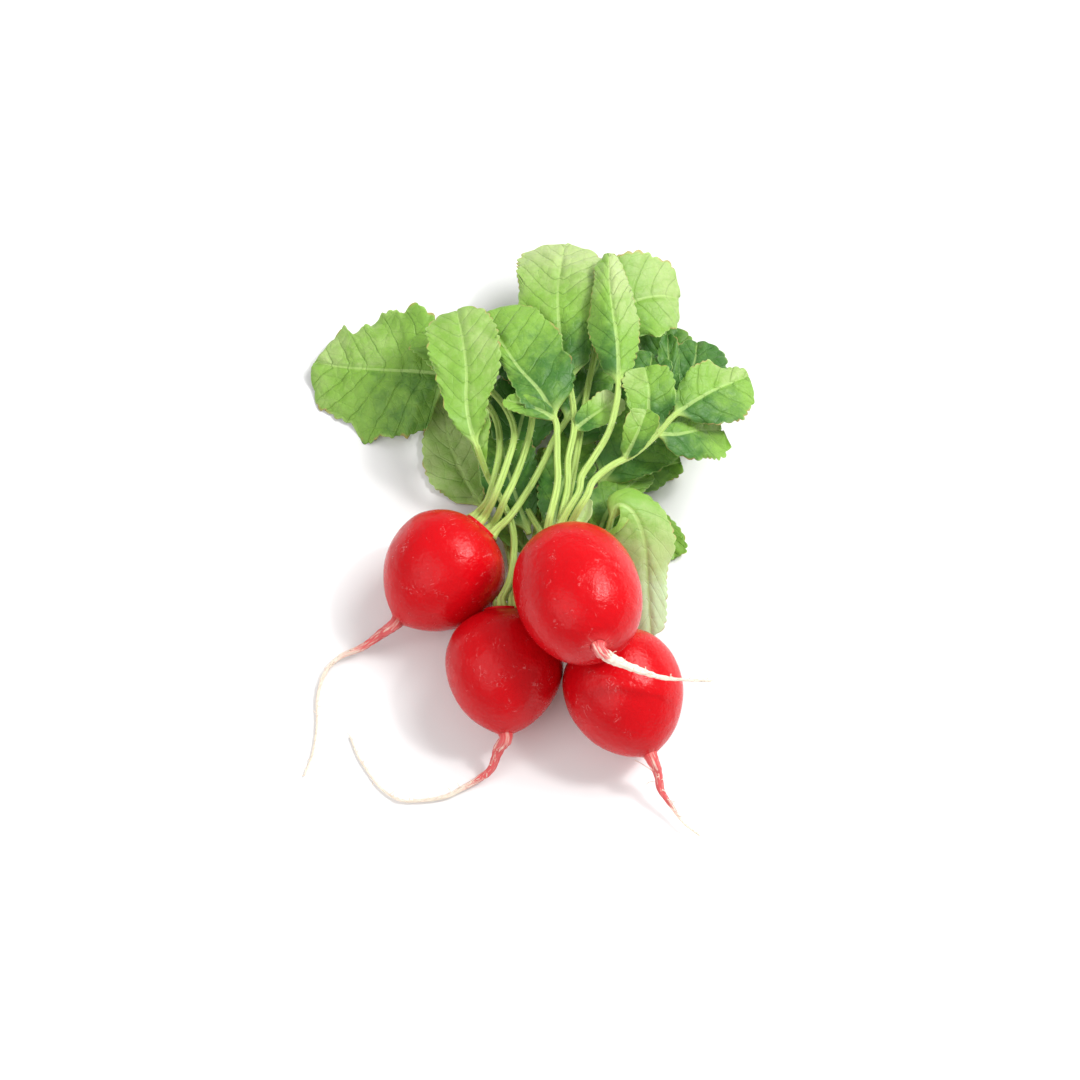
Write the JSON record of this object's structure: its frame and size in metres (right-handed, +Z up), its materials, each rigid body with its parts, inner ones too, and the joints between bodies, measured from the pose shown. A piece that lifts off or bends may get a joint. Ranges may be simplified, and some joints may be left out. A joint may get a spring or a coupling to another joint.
{
  "type": "bunch of radishes",
  "caption": "Bunch of small round red radishes with thin tails and leafy green tops, lying as picked on a flat surface, one root resting on two others.",
  "frame": {"origin": "middle of the bunch seen from above, on the surface that it lies on", "axes": "+Z up, +Y from the roots towards the leaves, +X to the right when looked at from the roots"},
  "size_m": [0.1224, 0.1694, 0.0552],
  "materials": {
    "root_skin": "glossy thin skin, red with pink scuffs, paler along the tail",
    "leaf_green": "soft matt leaf with a slight sheen, paler veins and stalk",
    "leaf_pale": "paler matt leaf, almost mint on its underside"
  },
  "bodies": {
    "root": {"root_left": "root_skin", "root_middle": "root_skin", "root_right": "root_skin", "root_top": "root_skin", "leaf_left_far": "leaf_green", "leaf_left_mid": "leaf_green", "leaf_left_inner": "leaf_green", "leaf_left_near": "leaf_green", "leaf_middle_low": "leaf_green", "leaf_middle_back": "leaf_green", "leaf_middle_inner": "leaf_green", "leaf_middle_pale": "leaf_pale", "leaf_right_low": "leaf_green", "leaf_right_side": "leaf_green", "leaf_right_inner": "leaf_green", "leaf_right_back": "leaf_green", "leaf_right_pale": "leaf_pale", "leaf_top_back": "leaf_green", "leaf_top_large": "leaf_green", "leaf_top_ridge": "leaf_green", "leaf_top_side": "leaf_green", "leaf_top_front": "leaf_green", "leaf_top_scrap": "leaf_pale"}
  },
  "joints": []
}
